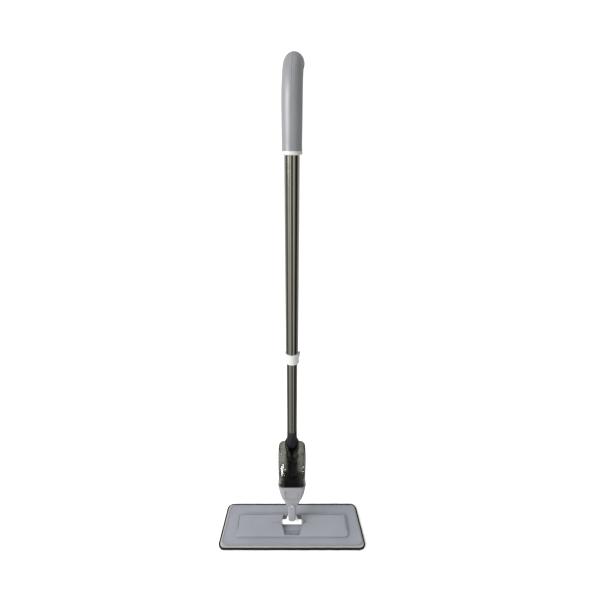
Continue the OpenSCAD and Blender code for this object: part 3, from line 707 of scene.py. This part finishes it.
def plastic(name, color, rough, grain, edge=0.5 * MM, coat=0.0, edge_wear_and_highlight=1.18):
    """Moulded plastic: fine spark-eroded grain, slight tone drift, edges lightened partly as rubbed wear
    and partly as a painted highlight, and a few scuffs.
    """
    material, tree, shader = new_material(name)
    place = place_of(tree)
    drift = noise_of(tree, place, 14.0, 4.0)
    tone = remap(tree, drift, 0.35, 0.65, 0.0, 1.0)
    base = blend(tree, tone, shade(color, 0.955), shade(color, 1.045))
    speck = noise_of(tree, place, 1400.0, 2.0)
    base = blend(tree, remap(tree, speck, 0.62, 0.72, 0.0, 0.22), base, shade(color, 0.8))
    round_edge = add(tree, "Bevel", {"samples": 4}, Radius=edge).outputs["Normal"]
    flat = add(tree, "NewGeometry").outputs["True Normal"]
    facing = add(tree, "VectorMath", {"operation": "DOT_PRODUCT"}, at_0=round_edge, at_1=flat)
    # Painted highlight and wear: edges, where the bevel normal turns from the flat face, are lightened
    # as if rubbed and catching light.
    worn_and_lit_edges = remap(tree, facing.outputs["Value"], 0.99, 0.85, 0.0, 0.7)
    base = blend(tree, worn_and_lit_edges, base, shade(color, edge_wear_and_highlight))
    scuff_place = scaled(tree, place, (30.0, 160.0, 18.0))
    scuffs = remap(tree, noise_of(tree, scuff_place, 2.0, 6.0, 0.65), 0.6, 0.75, 0.0, 0.16)
    gloss = remap(tree, noise_of(tree, place, 45.0, 4.0), 0.3, 0.7, rough - 0.05, rough + 0.06)
    gloss = maths(tree, "ADD", gloss, scuffs)
    fine = noise_of(tree, place, 2600.0, 2.0)
    surface = bump(tree, fine, grain, 1.0, round_edge)
    plug(tree, shader, Base_Color=base, Roughness=gloss, Normal=surface, Coat_Weight=coat)
    shader.inputs["Coat Roughness"].default_value = 0.12
    shader.inputs["IOR"].default_value = 1.49
    return material


STEEL = (0.66, 0.64, 0.57)


def tube_steel(name):
    """Polished stainless: clear reflections with faint lengthwise polishing streaks and smudges."""
    material, tree, shader = new_material(name)
    place = place_of(tree)
    along = scaled(tree, place, (1.0, 1.0, 0.012))
    streaks = noise_of(tree, along, 900.0, 3.0)
    smudge = noise_of(tree, place, 30.0, 5.0, 0.6)
    base = blend(tree, remap(tree, streaks, 0.35, 0.65, 0.0, 1.0), shade(STEEL, 0.9), shade(STEEL, 1.06))
    gloss = remap(tree, smudge, 0.35, 0.7, 0.04, 0.09)
    gloss = maths(tree, "ADD", gloss, remap(tree, streaks, 0.4, 0.7, 0.0, 0.05))
    surface = bump(tree, streaks, 0.004 * MM)
    plug(tree, shader, Base_Color=base, Roughness=gloss, Normal=surface)
    shader.inputs["Metallic"].default_value = 1.0
    return material


def plain_steel(name):
    """Zinc-plated hardware: duller, with turning marks."""
    material, tree, shader = new_material(name)
    place = place_of(tree)
    marks = noise_of(tree, place, 700.0, 4.0)
    base = blend(tree, marks, rgb(0.46, 0.46, 0.47), rgb(0.62, 0.61, 0.59))
    edge = add(tree, "Bevel", {"samples": 4}, Radius=0.2 * MM).outputs["Normal"]
    plug(tree, shader, Base_Color=base, Roughness=remap(tree, marks, 0.3, 0.7, 0.22, 0.4))
    plug(tree, shader, Normal=bump(tree, marks, 0.01 * MM, 1.0, edge))
    shader.inputs["Metallic"].default_value = 1.0
    return material


def smoked(name):
    """Smoked plastic with painted shade: darker in the middle channel round the spine, at the right and
    below the chamber's floor.
    """
    material, tree, shader = new_material(name)
    place = place_of(tree)
    flow = noise_of(tree, scaled(tree, place, (1.0, 1.0, 0.3)), 55.0, 3.0)
    tint = blend(tree, flow, rgb(0.31, 0.315, 0.285), rgb(0.41, 0.415, 0.38))
    where = add(tree, "SeparateXYZ", Vector=place)
    across, height = where.outputs["X"], where.outputs["Z"]
    aside = maths(tree, "ABSOLUTE", across)
    # Painted shade in the middle, where the channel's walls round the spine are seen edge-on.
    clear = remap(tree, aside, 13 * MM, 18 * MM, 0.5, 1.0)
    # Painted shade below the chamber's floor, over the skirt.
    above = remap(tree, height, (CHAMBER_FLOOR - 2) * MM, (CHAMBER_FLOOR + 3) * MM, 0.62, 1.0)
    clear = maths(tree, "MULTIPLY", clear, above)
    # Painted shade towards the right, the side away from the key light.
    right = remap(tree, across, 10 * MM, 30 * MM, 1.0, 0.78)
    clear = maths(tree, "MULTIPLY", clear, right)
    # The painted shade mixes a near-black into the smoke's colour.
    tint = blend(tree, clear, rgb(0.012, 0.015, 0.018), tint)
    sparkle = add(tree, "TexVoronoi", Vector=place, Scale=420.0).outputs["Distance"]
    left = remap(tree, across, -14 * MM, -20 * MM, 0.0, 1.0)
    low = remap(tree, height, CHAMBER_FLOOR * MM, (CHAMBER_FLOOR + 6) * MM, 0.0, 1.0)
    high = remap(tree, height, (SHOULDER + 8) * MM, SHOULDER * MM, 0.0, 1.0)
    zone = maths(tree, "MULTIPLY", maths(tree, "MULTIPLY", left, low), high)
    dimples = maths(tree, "MULTIPLY", remap(tree, sparkle, 0.0, 0.5, 1.0, 0.0), zone)
    ripple_height = maths(tree, "ADD", maths(tree, "MULTIPLY", flow, 0.4), dimples)
    plug(tree, shader, Base_Color=tint, Normal=bump(tree, ripple_height, 0.12 * MM, 0.6))
    haze = remap(tree, noise_of(tree, place, 90.0, 4.0), 0.35, 0.7, 0.03, 0.09)
    plug(tree, shader, Roughness=haze, Transmission_Weight=1.0, IOR=1.4)
    return material


def rubber(name):
    material, tree, shader = new_material(name)
    place = place_of(tree)
    dust = noise_of(tree, place, 220.0, 5.0)
    dusty = remap(tree, dust, 0.45, 0.75, 0.0, 1.0)
    base = blend(tree, dusty, rgb(0.015, 0.015, 0.016), rgb(0.05, 0.05, 0.048))
    plug(tree, shader, Base_Color=base, Roughness=remap(tree, dust, 0.3, 0.7, 0.55, 0.75))
    plug(tree, shader, Normal=bump(tree, dust, 0.02 * MM))
    return material


def hose(name):
    material, tree, shader = new_material(name)
    place = place_of(tree)
    cloud = noise_of(tree, place, 160.0, 3.0)
    base = blend(tree, cloud, rgb(0.68, 0.69, 0.66), rgb(0.8, 0.8, 0.78))
    plug(tree, shader, Base_Color=base, Roughness=remap(tree, cloud, 0.3, 0.7, 0.25, 0.4))
    plug(tree, shader, Subsurface_Weight=0.25, Normal=bump(tree, cloud, 0.02 * MM))
    shader.inputs["Subsurface Radius"].default_value = (0.002, 0.002, 0.002)
    return material


def pad_face(name, light, dark, pitch):
    """Knitted cloth: crossed rows of tiny loops with a soft nap over them."""
    material, tree, shader = new_material(name)
    place = place_of(tree)
    rows = add(tree, "TexWave", {"bands_direction": "X"}, Vector=place, Scale=pitch)
    rows.inputs["Distortion"].default_value = 1.4
    rows.inputs["Detail"].default_value = 2.0
    cross = add(tree, "TexWave", {"bands_direction": "Y"}, Vector=place, Scale=pitch * 0.8)
    cross.inputs["Distortion"].default_value = 1.8
    weave = maths(tree, "MULTIPLY", rows.outputs["Fac"], cross.outputs["Fac"])
    nap = noise_of(tree, place, 1500.0, 4.0, 0.7)
    blotch = noise_of(tree, place, 26.0, 4.0)
    shade_of = maths(tree, "ADD", maths(tree, "MULTIPLY", weave, 0.6), maths(tree, "MULTIPLY", nap, 0.5))
    base = blend(tree, shade_of, rgb(*dark), rgb(*light))
    base = blend(tree, remap(tree, blotch, 0.4, 0.7, 0.0, 0.25), base, shade(dark, 1.15))
    height = maths(tree, "ADD", weave, maths(tree, "MULTIPLY", nap, 0.6))
    plug(tree, shader, Base_Color=base, Roughness=0.95, Normal=bump(tree, height, 0.35 * MM, 0.8))
    plug(tree, shader, Sheen_Weight=0.35, Sheen_Roughness=0.5)
    shader.inputs["Specular IOR Level"].default_value = 0.2
    return material


def tape(name):
    """Black binding tape: fine ribs across it and slightly dusty threads."""
    material, tree, shader = new_material(name)
    run = add(tree, "UVMap", {"uv_map": "run"}).outputs["UV"]
    ribs = add(tree, "TexWave", {"bands_direction": "X"}, Vector=run, Scale=330.0)
    ribs.inputs["Distortion"].default_value = 0.6
    thread = noise_of(tree, scaled(tree, run, (1.0, 3.0, 1.0)), 1900.0, 3.0)
    base = blend(tree, ribs.outputs["Fac"], rgb(0.006, 0.006, 0.006), rgb(0.02, 0.02, 0.021))
    base = blend(tree, remap(tree, thread, 0.55, 0.75, 0.0, 0.5), base, rgb(0.05, 0.05, 0.052))
    height = maths(tree, "ADD", ribs.outputs["Fac"], maths(tree, "MULTIPLY", thread, 0.5))
    plug(tree, shader, Base_Color=base, Roughness=0.9, Normal=bump(tree, height, 0.25 * MM, 0.8))
    shader.inputs["Specular IOR Level"].default_value = 0.1
    return material


def hooks(name):
    """Hook tape: a dense field of tiny stems."""
    material, tree, shader = new_material(name)
    place = place_of(tree)
    stems = add(tree, "TexVoronoi", Vector=place, Scale=900.0).outputs["Distance"]
    base = blend(tree, stems, rgb(0.07, 0.07, 0.07), rgb(0.012, 0.012, 0.012))
    plug(tree, shader, Base_Color=base, Roughness=0.6, Normal=bump(tree, stems, -0.4 * MM))
    return material


HEAD_GREY = (0.2, 0.209, 0.235)
HANDLE_GREY = (0.222, 0.225, 0.236)
GRIP_GREY = (0.155, 0.157, 0.165)
NODE_GROUPS = {
    "head_grey": ["plate"],
    "handle_grey": ["neck", "spray_nozzle"],
    "bright_white": ["yoke"],
    "white": ["nozzle_tip", "tube_connector", "grip_collar", "pump_piston", "cap_valve"],
    "navy": ["pump_cylinder", "pump_cap", "bottle_seat", "spine", "trigger", "bottle_cap"],
    "tube": ["lower_tube", "upper_tube"],
    "hardware": [
        "hinge_pins", "roll_pin", "housing_screws", "grip_screws", "trigger_pin", "pull_rod",
        "pump_spring", "valve_spring",
    ],
    "rubber": ["seat_seal", "piston_seal", "cap_seal"],
    "hose": ["outlet_hose", "inlet_hose"],
    "hooks": ["hook_strips"],
}


def dress(piece, material):
    piece.data.materials.clear()
    piece.data.materials.append(material)


def make_looks(pad, pile, binding, bottle, housing, grip):
    made = {
        "head_grey": plastic("head_grey", HEAD_GREY, 0.46, 0.03 * MM),
        "handle_grey": plastic("handle_grey", HANDLE_GREY, 0.4, 0.025 * MM),
        "white": plastic("white_plastic", (0.4, 0.405, 0.39), 0.32, 0.012 * MM, 0.4 * MM, 0.15, 1.02),
        "grip_grey": plastic("grip_grey", GRIP_GREY, 0.36, 0.02 * MM),
        "bright_white": plastic(
            "bright_white", (0.9, 0.9, 0.9), 0.35, 0.012 * MM, 0.4 * MM, 0.1, 1.02,
        ),
        "navy": plastic("navy_plastic", (0.009, 0.011, 0.013), 0.4, 0.01 * MM, 0.4 * MM, 0.0, 1.9),
        "tube": tube_steel("polished_tube"),
        "hardware": plain_steel("zinc_hardware"),
        "rubber": rubber("seal_rubber"),
        "hose": hose("milky_hose"),
        "hooks": hooks("hook_tape"),
    }
    for group, names in NODE_GROUPS.items():
        for name in names:
            dress(NODES[name], made[group])
            soften(NODES[name])
    for piece in housing:
        dress(piece, made["handle_grey"])
    for piece in grip:
        dress(piece, made["grip_grey"])
    dress(bottle, smoked("smoked_plastic"))
    dress(pad, pad_face("pad_backing", (0.4, 0.39, 0.365), (0.24, 0.235, 0.225), 300.0))
    dress(pile, pad_face("pad_pile", (0.62, 0.61, 0.58), (0.42, 0.41, 0.39), 900.0))
    dress(binding, tape("binding_tape"))


# ---- Studio ----


KEY_PLACE, KEY_TARGET = (-2.5, -1.7, 1.7), (0.0, 0.0, 0.3)
KEY_SIZE, KEY_POWER = (1.7, 1.7), 150.0


def lamp(name, place, target, size, power):
    data = bpy.data.lights.new(name, "AREA")
    data.shape = "RECTANGLE"
    data.size, data.size_y = size
    data.energy = power
    light = bpy.data.objects.new(name, data)
    light.location = place
    direction = Vector(target) - Vector(place)
    light.rotation_euler = direction.to_track_quat("-Z", "Y").to_euler()
    bpy.context.collection.objects.link(light)


# Brightness of the reflection tent by compass angle: 0 faces the camera, positive is to the right
TENT_BANDS = [
    (-180, 0.5), (-140, 0.65), (-109, 0.3), (-87, 0.03), (-68, 0.26), (-52, 0.62), (-36, 0.24),
    (-22, 0.7), (-9, 0.04), (8, 0.02), (22, 0.55), (36, 0.36), (50, 0.06), (68, 0.0), (84, 0.05),
    (105, 0.3), (140, 0.5), (180, 0.5),
]
TENT_R = 420.0
TENT_LOW, TENT_TOP = 2.0, 1900.0
TENT_HOLE = 0.1


def glow_material(name):
    """A material with only its output left, for an emission node to be plugged into."""
    material = bpy.data.materials.new(name)
    material.use_nodes = True
    tree = material.node_tree
    tree.nodes.remove(tree.nodes["Principled BSDF"])
    return material, tree


def shine(tree, color, strength):
    """Makes the material a plain light of this colour and strength."""
    glow = add(tree, "Emission", Color=color, Strength=strength)
    tree.links.new(glow.outputs[0], tree.nodes["Material Output"].inputs["Surface"])


def make_tent():
    """Upright bands round the object and a ring of them on the floor, which only reflections see."""
    sides = 96
    turns = [2 * math.pi * i / sides for i in range(sides)]
    ring = [(TENT_R * math.cos(a), TENT_R * math.sin(a)) for a in turns]
    verts = [(x, y, TENT_LOW) for x, y in ring] + [(x, y, TENT_TOP) for x, y in ring]
    verts += [(x * TENT_HOLE, y * TENT_HOLE, TENT_LOW) for x, y in ring]
    faces = [[i, sides + i, sides + (i + 1) % sides, (i + 1) % sides] for i in range(sides)]
    faces += [[2 * sides + i, i, (i + 1) % sides, 2 * sides + (i + 1) % sides] for i in range(sides)]
    tent = make_piece("reflection_tent", verts, faces)
    material, tree = glow_material("tent_cards")
    split = add(tree, "SeparateXYZ", Vector=place_of(tree))
    turn = maths(tree, "ARCTAN2", split.outputs["X"], maths(tree, "MULTIPLY", split.outputs["Y"], -1.0))
    share = remap(tree, turn, -math.pi, math.pi, 0.0, 1.0)
    ramp = add(tree, "ValToRGB", Fac=share)
    cards = ramp.color_ramp
    while len(cards.elements) > 1:
        cards.elements.remove(cards.elements[-1])
    for i, (angle, value) in enumerate(TENT_BANDS):
        spot = (angle + 180) / 360
        card = cards.elements[0] if i == 0 else cards.elements.new(spot)
        card.position = spot
        card.color = rgb(value, value, value * 0.95)
    lower = remap(tree, split.outputs["Z"], 0.0, 900 * MM, 0.6, 1.0)
    shine(tree, ramp.outputs["Color"], lower)
    dress(tent, material)
    only_reflected(tent)


def only_reflected(card):
    card.visible_camera = False
    card.visible_diffuse = False
    card.visible_transmission = False
    card.visible_volume_scatter = False
    card.visible_shadow = False


FLOOR_REACH, FLOOR_DROP = 40000.0, 0.0002


def make_floor():
    far = FLOOR_REACH
    corners = [(-far, -far, 0), (far, -far, 0), (far, far, 0), (-far, far, 0)]
    floor = make_piece("floor", corners, [[0, 1, 2, 3]])
    floor.location.z = -FLOOR_DROP
    material, tree, shader = new_material("pale_floor")
    place = place_of(tree)
    mottled = blend(tree, noise_of(tree, place, 6.0), rgb(0.97, 0.97, 0.97), rgb(0.985, 0.985, 0.985))
    plug(tree, shader, Base_Color=mottled, Roughness=0.7)
    shader.inputs["Specular IOR Level"].default_value = 0.2
    dress(floor, material)


WORLD_BACK, WORLD_LEFT, WORLD_RIGHT, WORLD_TOP, WORLD_CAMERA_SIDE = 1.15, 1.05, 0.35, 1.25, 0.6


def make_world():
    """A white room: brightest above and behind, darker at the right and on the camera's side."""
    world = bpy.data.worlds.new("studio")
    bpy.context.scene.world = world
    world.use_nodes = True
    tree = world.node_tree
    toward = add(tree, "TexCoord").outputs["Generated"]
    split = add(tree, "SeparateXYZ", Vector=toward)
    x, y, z = (split.outputs[k] for k in "XYZ")
    sideways = remap(tree, x, -0.9, 0.9, WORLD_LEFT, WORLD_RIGHT)
    backward = remap(tree, y, 0.35, 0.75, 0.0, 1.0)
    forward = remap(tree, y, -0.4, -0.8, 0.0, 1.0)
    upward = remap(tree, z, 0.2, 0.9, 0.0, 1.0)
    level = sideways
    for share, value in ((forward, WORLD_CAMERA_SIDE), (backward, WORLD_BACK), (upward, WORLD_TOP)):
        keep = maths(tree, "MULTIPLY", level, maths(tree, "SUBTRACT", 1.0, share))
        level = maths(tree, "ADD", keep, maths(tree, "MULTIPLY", share, value))
    tree.links.new(level, tree.nodes["Background"].inputs["Strength"])
    tree.nodes["Background"].inputs["Color"].default_value = rgb(1, 1, 1)


# Small bright cards that only reflections see: corners in millimetres, then strength
STRIP_CARDS = {
    "grip_strip_card": (
        [(-292, -286, 1060), (-276, -302, 1060), (-276, -302, 1400), (-292, -286, 1400)], 9.0,
    ),
    "bottle_left_card": ([(-48, -286, 9), (-70, -314, 9), (-218, -195, 9), (-196, -167, 9)], 24.0),
    "bottle_right_card": ([(204, -182, 9), (234, -182, 9), (234, -152, 9), (204, -152, 9)], 16.0),
}


def make_studio():
    bpy.context.scene.view_settings.view_transform = "Standard"
    make_world()
    make_floor()
    make_tent()
    lamp("key", KEY_PLACE, KEY_TARGET, KEY_SIZE, KEY_POWER)
    for name, (corners, strength) in STRIP_CARDS.items():
        strip = make_piece(name, corners, [[0, 1, 2, 3]])
        material, tree = glow_material(name)
        shine(tree, rgb(1, 1, 1), strength)
        dress(strip, material)
        only_reflected(strip)


# ---- Build ----

pad = make_pad()
pile = make_pile()
binding = make_binding()
bottle = make_bottle()
housing = make_housing()
grip = make_grip()
make_looks(pad, pile, binding, bottle, housing, grip)
make_studio()
